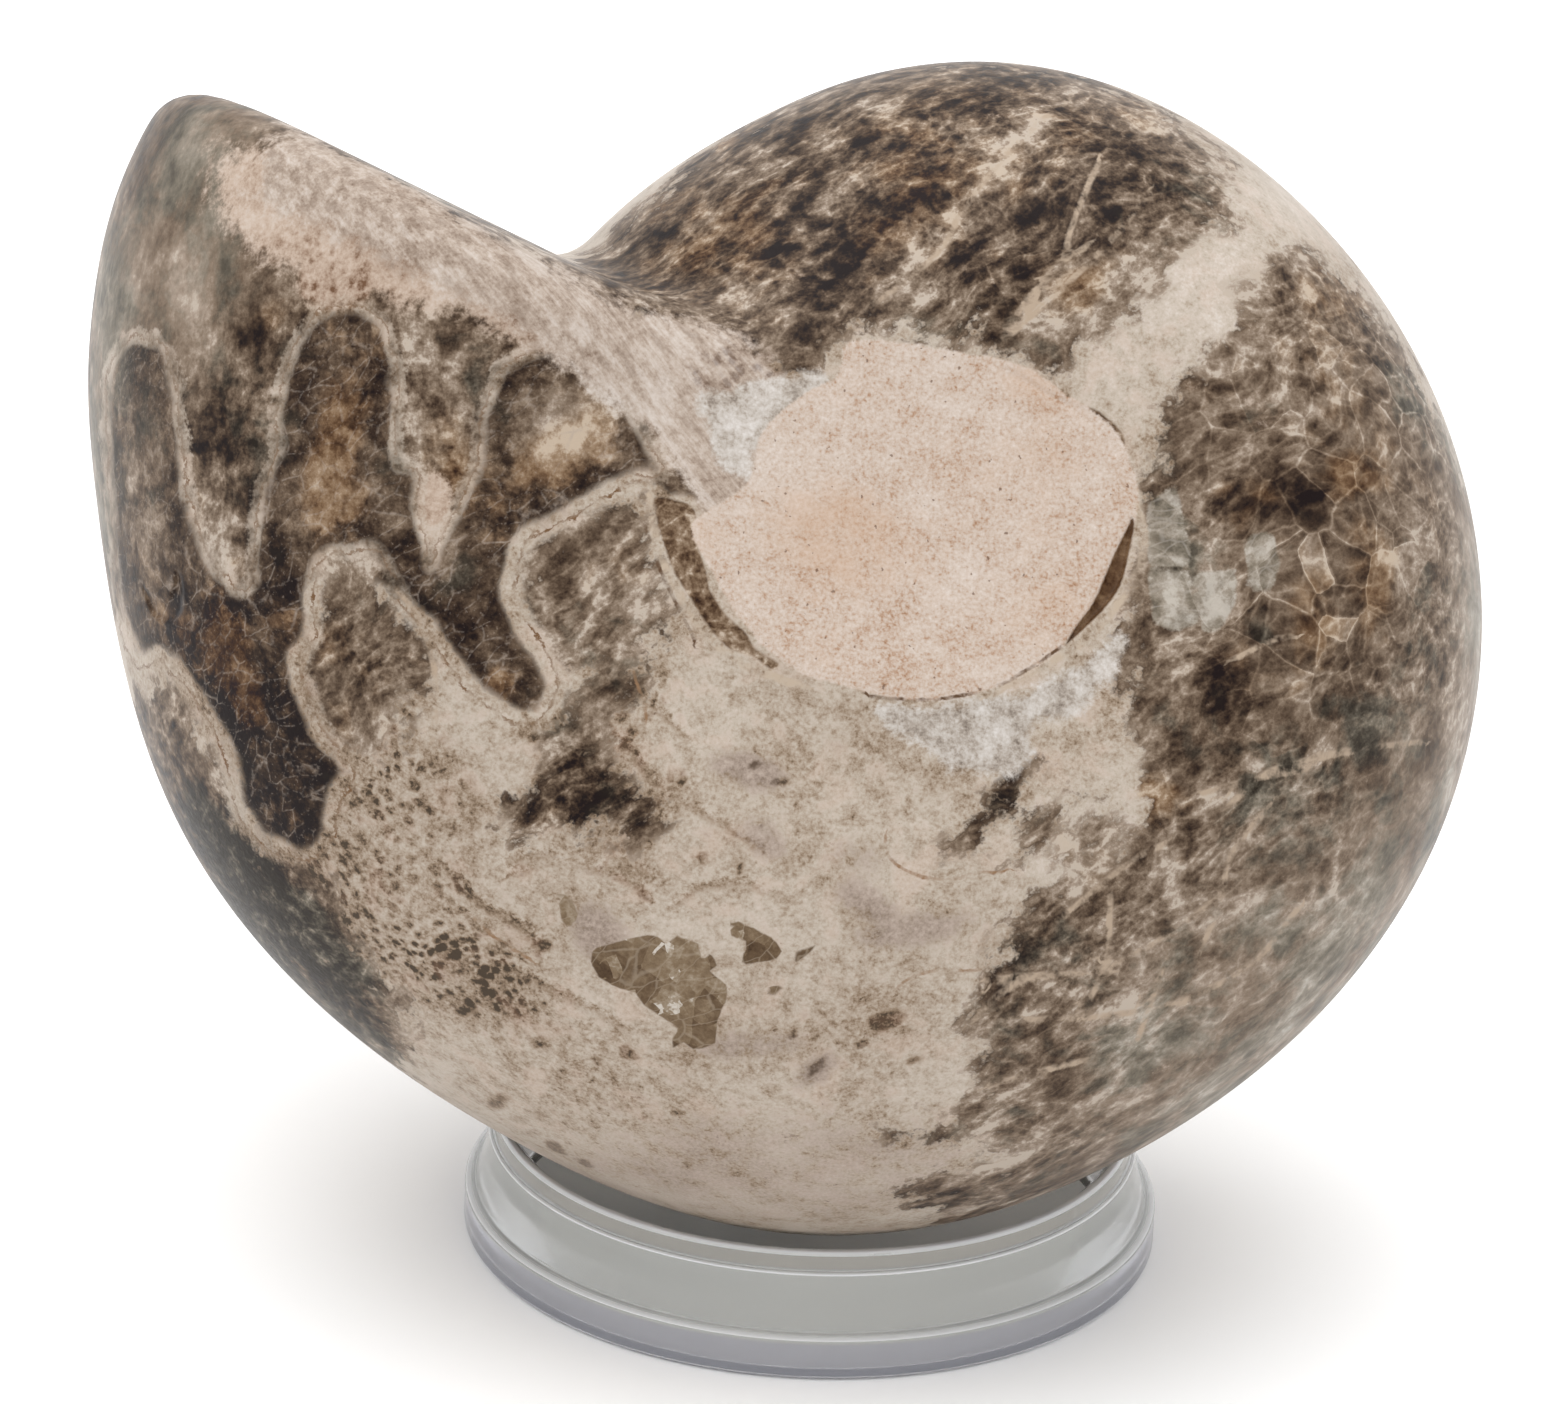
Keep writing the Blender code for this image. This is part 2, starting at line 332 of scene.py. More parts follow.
# Brown crystals with straight edges.
CRYSTALS = [
    [(-19.5, -29.6), (-17.5, -29), (-15.5, -28.5), (-14.5, -29.2), (-14, -28.5), (-12.5, -29),
     (-12.3, -30), (-11.5, -29.6), (-11.2, -30.4), (-11.7, -30.8), (-10.5, -31.7), (-10.5, -32.6),
     (-11, -33.5), (-11.1, -34.5), (-11.2, -35.5), (-12.5, -36), (-13.3, -35.5), (-14.1, -36),
     (-14.1, -35.4), (-13.6, -34.6), (-16, -33.2), (-16.6, -32.4), (-18, -32), (-19.1, -31.5),
     (-19.6, -30.5)],
    [(-22, -26), (-21, -26.3), (-20.5, -27.5), (-21, -28.4), (-21.6, -28), (-21.7, -27.3)],
    [(-10.5, -27.4), (-9.8, -27.5), (-7.6, -28.5), (-7, -29.3), (-7.5, -30), (-8.5, -30), (-9.6, -30.4),
     (-9.6, -29.6), (-9.2, -28.8), (-10.4, -28.4)],
    [(-6.6, -29.6), (-5.6, -29), (-4.4, -28.6), (-5.3, -29.4), (-6, -30)],
    [(-8.5, -32), (-7.5, -31.6), (-6.5, -31.4), (-7.5, -32.3)],
]
# Pale, glassy ones.
CLEAR_CRYSTALS = [
    [(16, -3), (19, -2.9), (19.2, -4.5), (19.4, -6.4), (18, -7), (16.6, -6.5), (16.3, -5)],
    [(19.3, -3), (22, -2.5), (22.1, -4.5), (21, -6.9), (19.9, -6.9), (19.6, -5.5)],
    [(22.4, -0.6), (23.4, 0.1), (24.4, 0), (25, -2), (24.4, -3.9), (23, -4)],
    [(15.9, 1.6), (17.8, 3), (18.4, 0.5), (19, -1.6), (18.9, -2.6), (16.1, -2.7)],
]
# Round the navel's plug: the open gap beside it, and the bands of brown shell left there.
GAP = [
    (14.9, 0.6), (15.1, 0), (14.8, -2), (14.3, -4.1), (13.3, -5.7), (12.1, -7), (11, -8.1), (10.9, -8),
    (11.4, -7), (12.3, -5.7), (12.8, -4.7), (13.4, -3.1), (13.9, -1.8), (14.7, 0),
]
SHELL_BANDS = [
    [(6, 10.2), (7.5, 9.7), (9, 8.8), (11.1, 8), (12.6, 7.5), (14.2, 6), (14, 4.7), (13.3, 4.6),
     (12.4, 5.9), (10.6, 7.4), (8.9, 8.4), (7, 9.2)],
    [(-16.7, 0), (-15.4, 0), (-14, -0.6), (-13.8, -2.6), (-13.1, -4.5), (-12.7, -6), (-11.6, -7.5),
     (-10.3, -8.6), (-9.6, -9.6), (-8.1, -10.5), (-8.5, -10.9), (-9.8, -10.1), (-11.3, -9.7),
     (-12.8, -8.2), (-14.1, -6.3), (-15.2, -4.7), (-16, -2.7), (-16.5, -1.2)],
]
NAVEL_LIGHT_LINES = [
    [(15.3, 1.8), (15.8, -1), (15.3, -3.5), (13.8, -5.9), (11.6, -8.3), (9.2, -9.8), (6, -11.8)],
    [(-16.9, 0.2), (-16.6, -2), (-16.1, -3.7), (-15.1, -5.6), (-13.8, -7.6), (-12.5, -9.2), (-10.5, -10.6),
     (-8.5, -11.3), (-6.5, -11.9)],
]
NAVEL_DARK_LINES = [
    [(-17.3, -1.5), (-16.7, -3.2), (-15.7, -5.4), (-13.6, -9.2)],
    [(10.9, -8.1), (9, -9.6), (6, -11.4), (2, -12.4), (-2, -12.4)],
]
# Thin light veins and thin dark lines elsewhere.
LIGHT_LINES = [
    [(10, 30), (6, 25.5), (3, 21), (1.5, 18), (-1, 15.5), (-3.5, 13.5)],
    [(15.5, 23), (13, 19.5), (9.5, 15.5), (6.5, 12.5)],
    [(12, 25), (10.5, 21), (9.5, 17.5), (7.5, 15), (6, 12.5)],
    [(6.5, -30.5), (10, -30), (14, -29.5), (18.5, -27), (21.5, -24.5)],
    [(11.5, -26), (15.5, -22.5), (18, -21)],
    [(21.5, -19), (24.5, -16), (29, -14.5), (33, -13.5)],
    [(18.5, -28.5), (17, -34)],
    [(14.5, -24.5), (14.5, -29), (13, -32.5)],
    [(19.5, -31.5), (24.5, -28.5), (27.5, -24.5)],
    [(22, -8.6), (24.5, -7.2), (26, -6.8)],
    [(28, -14.5), (30.5, -14), (35.5, -13)],
    [(20.5, -17.5), (23.5, -16.5), (27.5, -15.5)],
    [(25, -18), (22.5, -21.5), (22, -24.5), (21, -27.5)],
    [(9.5, -33), (14.5, -32.5), (19, -31.5), (22.5, -30)],
    [(5.5, -33.5), (8, -31), (11, -30)],
    [(7, -37.5), (10, -36.5), (13.5, -35.5)],
    [(7, 13), (9, 17), (11.5, 19)],
    [(-30.5, -16.5), (-30.5, -12.5), (-31.5, -9), (-33, -7)],
]
DARK_LINES = [
    [(-27.5, -28), (-25.5, -29.5), (-23.5, -30.5)],
    [(-0.5, -21.5), (-0.5, -22.5), (0.5, -23.4), (2, -24), (4, -24.1), (5.5, -23.6), (7.5, -23.4)],
    [(0.5, -31.5), (1.5, -30.6), (3, -30.1), (5, -30), (6.5, -29.8)],
    [(-17.5, -11.5), (-16.5, -14.5), (-17.5, -16)],
]
# Wider tan lines that swirl through the cream.
SWIRLS = [
    [(-15, -19), (-13.5, -20), (-11.5, -21), (-10.3, -21.7), (-9, -22.5)],
    [(-25, -24), (-23, -23.5), (-21.5, -23.3), (-19.5, -23.4), (-18, -23.7), (-16, -24.5)],
    [(-25, -25), (-23, -24.2), (-21, -24.1), (-19, -24.5), (-17, -25.2), (-16, -26)],
    [(-14, -26.5), (-13, -25.5), (-11, -25), (-9.5, -25), (-8, -25.5)],
    [(-25, -31), (-23, -32), (-20.5, -33), (-17.5, -34.5)],
    [(-20, -14.5), (-17, -17), (-15.5, -20), (-16.5, -22.5), (-19, -23)],
    [(-17, -13), (-14.5, -15), (-13.5, -17), (-14.5, -19.5)],
    [(-29, -25), (-27, -27), (-24, -28.5), (-23, -30)],
]

# A small hollow near the edge.
PIT = [
    (-51.5, -6.3), (-50.4, -7.0), (-49.3, -6.9), (-48.9, -5.4), (-48.4, -6.0), (-48.3, -8.0),
    (-49.2, -8.7), (-50.6, -8.2),
]

# Soft patches: the middle's x and u, half the length and width, the turn in degrees, and the strength.
PATCHES = {
    "amber": [
        (-37.8, 1.5, 5.5, 1.8, 88, 1), (-45, -10.5, 3.5, 1.7, 100, 1), (-22, 2.5, 3.5, 2.2, 40, 0.8),
        (-43.5, -14, 3, 1.4, 110, 1), (31, -2, 3.5, 1.5, 80, 0.9), (27, -5.5, 3, 2.2, 100, 1),
        (-26.5, -13.5, 2, 1.2, 60, 1), (22, 2, 3, 2, 30, 0.7), (-38, -9.5, 2.5, 1.5, 90, 0.5),
        (-16, 17, 4, 2.5, 30, 0.7), (10.5, 15.5, 2.5, 1.5, 40, 0.8), (0, -33.5, 1.4, 1, 20, 1),
        (17, -18, 2, 1.5, 0, 0.9), (-49, -9, 2.5, 1.5, 150, 0.8), (28, 13, 5, 3, 120, 0.5),
        (-20, -6, 4, 2.5, 60, 0.5), (-30.5, 2.5, 4, 2, 100, 1), (-43, 11, 2.5, 1.5, 40, 0.7),
        (-37, -1, 3, 2, 90, 0.8), (-2, 22, 18, 9, 15, 0.5), (-4, -2, 5.5, 4, -30, 0.8),
        (6.5, 9.5, 5, 1.6, -20, 0.7), (30, 4.5, 2, 1.6, 0, 1), (31.5, -3, 5, 1.8, 90, 1),
    ],
    "dark": [
        (-40, -14.5, 9, 2.4, 108, 1), (-30, -8, 6, 2.2, 125, 1), (-33.5, 14.5, 1.6, 1.1, 30, 1),
        (25.5, 2, 3.5, 2, 20, 0.9), (11.5, -27, 5, 2.6, 40, 0.75), (22, -10.5, 4, 2.6, 50, 0.9),
        (-1, 23, 5, 2.5, 35, 0.8), (-9, 19, 4, 2, 35, 0.8), (8, 22, 4, 2.2, 10, 0.6),
        (-41.5, -31, 6, 2, 130, 0.7), (-2, 27, 5, 1.6, 35, 0.5), (10, 26, 4, 1.5, 20, 0.4),
        (13, -13, 3.5, 1.6, 60, 0.5), (-29, -32, 6, 2, -22, 0.4), (26, 3, 3, 1.5, 20, 0.7),
        (7, -19, 2.2, 0.7, 55, 0.8), (3.5, -17, 2.2, 0.8, 50, 0.8), (3, -41.3, 3, 0.8, 10, 0.6),
        (15.5, 26, 4, 2, -20, 0.4), (3.5, 29.5, 4, 1.6, 20, 0.4), (17.3, 0, 2.6, 1.6, 90, 0.4),
        (-47, -21, 6, 1.6, 118, 0.6), (-37, -3, 4, 1.4, 30, 0.6), (-41, -8, 4, 1.2, 100, 0.6),
        (-43, -26.5, 9, 3.2, 130, 2), (-38.5, -32, 5, 2, 130, 1.5), (-51.5, 24, 6, 3.5, 60, 0.6),
        (-43, -15.5, 9, 3.4, 118, 1.5), (2, 20, 16, 6, 15, 0.5), (-20.5, -19.5, 4, 3, 10, 0.9),
        (-29.5, 8.5, 1.6, 1, 30, 0.6), (-33.5, 11.5, 1.6, 1, -30, 0.9), (-43, 10, 3, 1.6, 30, 0.6),
        (-26.5, -9, 4, 1.6, 110, 0.5),
    ],
    "pale": [
        (-47, 18, 8, 5, 80, 0.4), (-43, 16, 5, 4, -30, 0.6), (17.7, -4.8, 1.6, 1.6, 0, 0.6),
        (-22, 4.5, 5, 3, 20, 1.6), (-20.5, -6, 5, 4, 45, 0.8), (-31, 5, 4, 2.4, 85, 0.4),
        (-46.5, -17.5, 5, 1.4, 120, 0.8), (-33, -15, 4, 2.4, 60, 0.5), (-27.5, -8, 6, 2.4, 120, 0.45),
        (19, 16, 9, 4.5, 50, 1.2), (24, 22, 5, 4, 50, 1.2), (28, 6, 16, 9, 105, 0.4),
        (20, -14, 10, 7, 60, 0.25), (24, -31, 20, 12, 40, 0.65), (-14, 7, 9, 4, -50, 0.6),
        (18.5, -22.5, 5, 0.9, 100, 1.3), (6.8, 26.5, 6, 1, 52, 1.3), (1, 18.5, 6, 1.1, 50, 1.3),
        (17, 19.5, 5.5, 0.8, 57, 1.1), (9, 16, 3.5, 0.7, 60, 0.9), (-52.5, 2, 3.5, 0.8, 90, 1),
        (-50.5, 2, 6, 1.8, 88, 0.5), (19.5, -5.5, 3, 2, 15, 0.8), (-46, -4.5, 2.2, 1, 75, 1),
        (-39, 15, 1.8, 1.4, 0, 1), (9, 13, 3, 1.2, 40, 1), (14.5, 18, 3.5, 1, 55, 1),
        (13.5, -21, 6, 2.4, 55, 1), (-21, 22.5, 6, 1.6, 38, 0.9), (-12, 14, 4, 1.4, 20, 0.8),
        (2, 14, 5, 1.6, 10, 1), (20, -30, 6, 1.2, 25, 0.7), (15, -38, 10, 4, 25, 0.7),
        # The first patch on the next line, a pale band along the right edge, is painted sheen.
        (39, -6, 16, 3, 95, 0.9), (28, -20, 4, 1, 30, 0.8), (18, -34, 12, 7, 40, 0.6),
        (3, -38, 4, 3, 60, 0.7), (-18, 28, 6, 1.6, 40, 0.6), (20, 25, 5, 2, -40, 0.6),
    ],
    "pink": [
        (-36, 17, 9, 3.6, -28, 1), (-27, 13, 6, 2.6, -35, 1), (-42, 18.5, 6, 3.4, -35, 0.9),
        (-31, -1.5, 2.4, 1.2, 90, 1), (-38, 14, 2.8, 2.4, 0, 1),
    ],
    "grey": [
        # On the next line the first patch, a grey band along the left edge, is partly the stone's grey and
        # partly painted sheen; the third, a grey band along the lower right edge, is painted sheen.
        (-54.5, 8, 14, 2.2, 88, 0.9), (-47, 20, 6, 3, 60, 0.7), (34, -20, 12, 4, 70, 0.8),
        (-42, -29, 11, 4.5, 130, 1.2), (-50, 22, 6, 4, 60, 0.8), (-9.5, -17.5, 3, 1.3, 0, 1),
        (-18.5, -28, 2, 1, -20, 1), (2, -25, 3, 2, 0, 0.8), (36, 10, 8, 3, 120, 0.8),
        # The last patch on the next line, a grey band along the right edge, is painted sheen.
        (19, -1, 3, 3, 0, 0.8), (28, -14, 6, 3, 40, 0.7), (40, -6, 16, 3, 95, 0.6),
        (28, -33, 18, 11, 40, 0.8), (-49, 12, 9, 4, 80, 0.6),
    ],
    "lilac": [
        (-19, -28.8, 2.6, 1.6, -50, 1), (-9.8, -17.6, 2.6, 1.2, -12, 1), (-1.5, -26, 2.4, 1.2, -30, 0.9),
        (1.5, -27.5, 4, 1.2, 10, 0.8), (-8.5, -22, 2, 1, -40, 0.7), (-9, -35.5, 4, 1, 5, 0.6),
        (-4.5, -37, 1.6, 0.8, 40, 0.9), (-2, -23, 2, 1.2, 0, 0.5), (16, -5, 2.5, 1.6, 100, 0.6),
        (-8, -44, 18, 4, 5, 0.5),
    ],
    "spots": [
        (-10, -24, 0.5, 0.4, 0, 1), (-12.5, -23.5, 0.6, 0.4, -20, 1), (0, -33.5, 1.4, 0.8, 20, 1),
        (-1.5, -35, 0.6, 0.3, 30, 1), (-8.5, -21, 0.5, 0.4, 0, 0.8), (-22.6, -29.5, 0.6, 0.5, 0, 1),
        (-23, -36, 0.7, 0.5, 0, 0.9), (-17, -36.4, 0.7, 0.5, -30, 1), (-19, -37, 0.6, 0.3, -40, 0.9),
        (2, -36, 0.9, 0.3, 25, 1), (-4.7, -37, 0.9, 0.35, 60, 1), (-3.9, -36.6, 0.7, 0.3, -50, 0.9),
        (-6, -34.5, 0.7, 0.25, 60, 0.8), (-9.2, -17.2, 0.5, 0.4, 0, 1), (-7.6, -18.2, 0.5, 0.4, 0, 1),
        (-14.3, -18.5, 0.8, 0.3, -40, 1), (-26, -40, 1, 0.6, 20, 0.9), (-22, -43, 1, 0.4, -30, 0.9),
        (-20, -44, 0.7, 0.4, -30, 0.8), (-28, -34, 0.8, 0.5, 0, 0.8),
    ],
    "muted": [
        # The last two patches on the next line mute the contrast along the right edge as painted sheen.
        (28, -33, 18, 11, 40, 0.7), (36, -20, 12, 6, 70, 0.8), (41, -2, 20, 3.5, 95, 1),
        # The second patch on the next line mutes the contrast along the left edge, partly as the stone's
        # own look and partly as painted sheen.
        (-49, 18, 12, 7, 75, 1), (-55, 5, 14, 2, 88, 0.8), (-22, -38, 14, 4, -35, 0.6),
    ],
    "bold": [
        (0, 21, 20, 9, 15, 0.7), (12, -29, 6, 5, 40, 0.4), (-20.5, -20, 4, 4, 0, 1),
        (-42, -27, 9, 4, 130, 0.8),
    ],
    "coarse": [
        (28, -1, 12, 7, 80, 1), (33, 9, 7, 5, 120, 0.9), (20, 8, 6, 4, 60, 0.6), (-20, -30, 5, 3, 0, 0.3),
        (8, 20, 5, 4, 0, 0.3),
    ],
    "sediment": [
        (-44.5, 13.5, 4.5, 2.8, 80, 1), (-45.5, 3, 5, 2.4, 85, 1), (-31, 5, 4.5, 2.4, 85, 0.1),
        (-33, 14, 2, 1.2, 20, 1), (-44, -1.5, 3, 1.5, 90, 0.7), (-49.5, 19, 3, 1.2, 60, 0.8),
    ],
    "speckled": [
        (-32.5, -20, 4.5, 4.5, 0, 0.65), (-32, -27, 6, 4, -20, 0.6), (-36, -25, 4, 3, 0, 0.65),
        (-34, -14, 3, 3, 0, 0.8), (-29, -31, 6.5, 2.8, -22, 1.05), (-37, -28, 4, 2.6, -45, 1.05),
        (-18, -14, 3, 3, 0, 0.7), (-23, -16, 3, 3, 0, 0.7), (-22, -37, 7, 3, -30, 0.35),
        (-12, 9, 4, 2, 20, 1), (-39, 14, 5, 3, -20, 0.7), (-5, -36, 10, 4, 10, 0.2),
    ],
}


def curve(points, closed, steps=5):
    """Catmull-Rom through the points."""
    spots = np.array(points, float)
    if closed:
        spots = np.concatenate([spots[-1:], spots, spots[:2]])
    else:
        spots = np.concatenate([2 * spots[:1] - spots[1:2], spots, 2 * spots[-1:] - spots[-2:-1]])
    made = []
    for a, b, c, d in zip(spots, spots[1:], spots[2:], spots[3:]):
        for t in np.arange(steps) / steps:
            made.append(
                b + 0.5 * t * (c - a + t * (2 * a - 5 * b + 4 * c - d + t * (3 * b - a - 3 * c + d)))
            )
    return np.array(made + ([] if closed else [spots[-2]]))


FAR = 6.0


def side_distance(chart, spots):
    """From each chart point to an open line, negative on the line's right, and FAR at most."""
    close = np.all((chart > spots.min(axis=0) - FAR) & (chart < spots.max(axis=0) + FAR), axis=1)
    places = chart[close]
    nearest = np.full(len(places), FAR)
    for start, end in zip(spots, spots[1:]):
        way = end - start
        off = places - start
        part = np.clip(off @ way / (way @ way), 0, 1)
        gap = np.hypot(off[:, 0] - part * way[0], off[:, 1] - part * way[1])
        side = np.where(way[0] * off[:, 1] - way[1] * off[:, 0] < 0, -1, 1)
        nearest = np.where(gap < np.abs(nearest), side * gap, nearest)
    distances = np.full(len(chart), FAR)
    distances[close] = nearest
    return distances


def depth_inside(chart, spots):
    """The distance to a closed outline, positive inside it."""
    inside = np.zeros(len(chart), bool)
    for (x0, u0), (x1, u1) in zip(spots, np.roll(spots, -1, axis=0)):
        crosses = (u0 > chart[:, 1]) != (u1 > chart[:, 1])
        level = x0 + (chart[:, 1] - u0) * (x1 - x0) / (u1 - u0 if u1 != u0 else 1)
        inside ^= crosses & (chart[:, 0] < level)
    return np.where(inside, 1, -1) * np.abs(side_distance(chart, np.concatenate([spots, spots[:1]])))


def ramp_between(low, high, x):
    t = np.clip((x - low) / (high - low), 0, 1)
    return t * t * (3 - 2 * t)


def patches(chart, spots):
    """The patch's strength in the middle of each soft patch and 0 away from them all."""
    most = np.zeros(len(chart))
    for x, u, long, wide, turn, strength in spots:
        off = chart - (x, u)
        ahead = off @ (cos(radians(turn)), sin(radians(turn)))
        aside = off @ (-sin(radians(turn)), cos(radians(turn)))
        part = 1 - ramp_between(0.4, 1.5, np.hypot(ahead / long, aside / wide))
        most = np.maximum(most, strength * part)
    return most


BACK_TURN = 35.0  # how far the back flank's patches are turned from the front's
BACK_HEIGHT = -8  # from where on they are wholly the back's
FRONT_HEIGHT = 4
SLOPE_RADIUS = 49.0  # where the mouth's slope begins


def field(measure, coil):
    """A measure of the chart, read as it is on the front flank and turned on the back one."""
    front = coil[:, :2]
    turn = radians(BACK_TURN)
    turned = front @ np.array([(cos(turn), -sin(turn)), (sin(turn), cos(turn))])
    share = ramp_between(BACK_HEIGHT, FRONT_HEIGHT, coil[:, 2])
    return share * measure(front) + (1 - share) * measure(turned)


def deepest(outlines, closed_curve=True):
    """Measures how deep a chart point is in whichever outline holds it."""
    made = [curve(outline, True) if closed_curve else np.array(outline, float) for outline in outlines]
    return lambda chart: np.max([depth_inside(chart, spots) for spots in made], axis=0)


def nearest_line(lines):
    """Measures the distance to the nearest line, with a sign that tells its two sides apart."""
    made = [curve(line, False) for line in lines]

    def measure(chart):
        offsets = np.array([side_distance(chart, spots) for spots in made])
        return offsets[np.abs(offsets).argmin(axis=0), np.arange(len(chart))]

    return measure


def wave(points, size, octaves, seed):
    """Noise at each point with features of this size, from about -1 to 1."""
    places = (points / size + (seed, 2 * seed, 3 * seed)).tolist()
    return np.array([noise.fractal(place, 1.0, 2.0, octaves) for place in places])


def markings(coil):
    """Every marking as a number per point."""
    chart = coil[:, :2]
    wobble = wave(coil, 2.2, 3, 5.5)
    made = {
        "chamber": deepest([CHAMBER])(chart) + 0.35 * wobble,
        "body_chamber": deepest([BODY_CHAMBER])(chart) + wobble,
        "brown": field(deepest(BROWN.values()), coil) + 1.6 * wobble,
        "navel": deepest([NAVEL])(chart),
        "gap": deepest([GAP])(chart),
        "shell_band": deepest(SHELL_BANDS)(chart),
        "granular": deepest(GRANULAR)(chart) + 0.7 * wobble,
        "crystal": field(deepest(CRYSTALS, closed_curve=False), coil),
        "clear_crystal": deepest(CLEAR_CRYSTALS, closed_curve=False)(chart),
        "navel_light": nearest_line(NAVEL_LIGHT_LINES)(chart),
        "navel_dark": nearest_line(NAVEL_DARK_LINES)(chart),
        "light_line": field(nearest_line(LIGHT_LINES), coil),
        "dark_line": field(nearest_line(DARK_LINES), coil),
        "swirl": field(nearest_line(SWIRLS), coil),
    }
    for name in ("navel_light", "navel_dark", "light_line", "dark_line", "swirl"):
        made[name + "_near"] = np.abs(made[name])
    spots = {name: field(lambda chart: patches(chart, spots), coil) for name, spots in PATCHES.items()}
    # The pale, grey and muted patches along the right edge are painted sheen, and those along the left edge
    # partly so; the others are the stone's own colour.
    made["tone"] = 0.35 * wave(coil, 6, 3, 9.5) + 0.45 * spots["pale"] - 0.4 * spots["dark"]
    made["fade"] = wave(coil, 3.5, 2, 12.5)
    made["warm"] = 0.7 * wave(coil, 7, 3, 2.5) + spots["amber"] - 0.9 * spots["grey"]
    made["shade"] = spots["sediment"]
    made["contrast"] = 1 - 0.6 * spots["muted"] + 0.4 * spots["bold"]
    for name in ("pink", "speckled", "lilac", "spots", "coarse"):
        made[name] = spots[name]
    radius = np.hypot(coil[:, 0], coil[:, 1])
    angle = np.degrees(np.arctan2(coil[:, 1], -coil[:, 0]))
    past_lip = angle - along(LIP, radius)
    slope = np.radians(np.minimum(past_lip, along(SLOPE, radius) - past_lip)) * radius
    made["mouth"] = np.minimum(slope, SLOPE_RADIUS - radius + 2 * wobble)
    return made


def refine(mesh, chosen):
    """Divides the faces that touch the chosen points."""
    fine = bmesh.new()
    fine.from_mesh(mesh)
    fine.verts.ensure_lookup_table()
    edges = {edge for i in np.flatnonzero(chosen) for edge in fine.verts[i].link_edges}
    bmesh.ops.subdivide_edges(fine, edges=list(edges), cuts=1, use_grid_fill=True)
    fine.to_mesh(mesh)
    fine.free()


def build_fossil():
    mesh = loft()
    points = positions(mesh)
    points = smooth(mesh, points, EVEN_ROUNDS, np.full(len(points), 0.5))
    coil = to_coil(points)
    foot = np.min([np.linalg.norm(coil - spot, axis=1) for spot in section(0.0)[::2]], axis=0)
    points = smooth(mesh, points, FOOT_ROUNDS, 0.5 * np.exp(-((foot / FOOT_WIDTH) ** 2)))
    mesh.vertices.foreach_set("co", points.ravel())
    for _ in range(DIVISIONS):
        chart = to_coil(positions(mesh))[:, :2]
        near_gap = deepest([GAP, PIT])(chart) > -GAP_REACH
        refine(mesh, near_gap | (np.abs(deepest(SHELL_BANDS)(chart)) < BAND_REACH))
    points = positions(mesh)
    coil = to_coil(points)
    chart = coil[:, :2]
    sink = GAP_DEPTH * ramp_between(-0.1, 0.3, deepest([GAP, PIT])(chart))
    sink = sink + BAND_DEPTH * ramp_between(-0.1, 0.25, deepest(SHELL_BANDS)(chart))
    flanks = np.abs(coil[:, 2]) > FLANK_HEIGHT
    coil[:, 2] -= np.sign(coil[:, 2]) * sink * flanks
    mesh.vertices.foreach_set("co", np.clip(to_world(coil), *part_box("fossil")).ravel())
    mesh.update()
    mesh.shade_smooth()
    bend = np.stack([wave(coil, 5, 1, seed) for seed in (1.5, 3.5, 7.5)], 1)
    for name, places in {"coil": coil, "bent": coil + bend}.items():
        mesh.attributes.new(name, "FLOAT_VECTOR", "POINT").data.foreach_set("vector", places.ravel())
    for name, values in markings(coil).items():
        mesh.attributes.new(name, "FLOAT", "POINT").data.foreach_set("value", values)
    return new_object("polished_fossil", mesh)


# --- Materials ---
MIX_A, MIX_B, MIX_RESULT = 6, 7, 2  # the colour sockets of a Mix node
ALBEDO = 0.66  # the part of a screen colour that a surface needs, since this scene's light lifts it
GLOSS = 0.007  # how much of it the surface's gloss adds


def shade(colour, albedo=ALBEDO, gloss=GLOSS):
    """A colour given as on a screen, 0 to 255, as a shader's linear colour."""
    values = [channel / 255 for channel in colour]
    linear = [v / 12.92 if v <= 0.04045 else ((v + 0.055) / 1.055) ** 2.4 for v in values]
    return (*(max(v * albedo - gloss, 0.002) for v in linear), 1.0)


class Value:
    """A number in a shader."""

    def __init__(self, paint, socket):
        self.paint = paint
        self.socket = socket

    def __add__(self, other):
        return self.paint.calculate("ADD", self, other)

    def __sub__(self, other):
        return self.paint.calculate("SUBTRACT", self, other)

    def __rsub__(self, other):
        return self.paint.calculate("SUBTRACT", other, self)

    def __mul__(self, other):
        return self.paint.calculate("MULTIPLY", self, other)

    __radd__ = __add__
    __rmul__ = __mul__

    def size(self):
        return self.paint.calculate("ABSOLUTE", self, 0)

    def most(self, other):
        return self.paint.calculate("MAXIMUM", self, other)

    def blend(self, part, other):
        """This number, or the other where the part is 1."""
        node = self.paint.add("Mix", {0: part, 2: self, 3: other}, data_type="FLOAT")
        return Value(self.paint, node.outputs[0])

    def step(self, low, high):
        """0 below low, 1 above high and smooth between, or the other way round if low is the larger."""
        ends = {"From Min": low, "From Max": high}
        if low > high:
            ends = {"From Min": high, "From Max": low, "To Min": 1, "To Max": 0}
        node = self.paint.add("MapRange", {"Value": self, **ends}, interpolation_type="SMOOTHSTEP")
        return Value(self.paint, node.outputs["Result"])


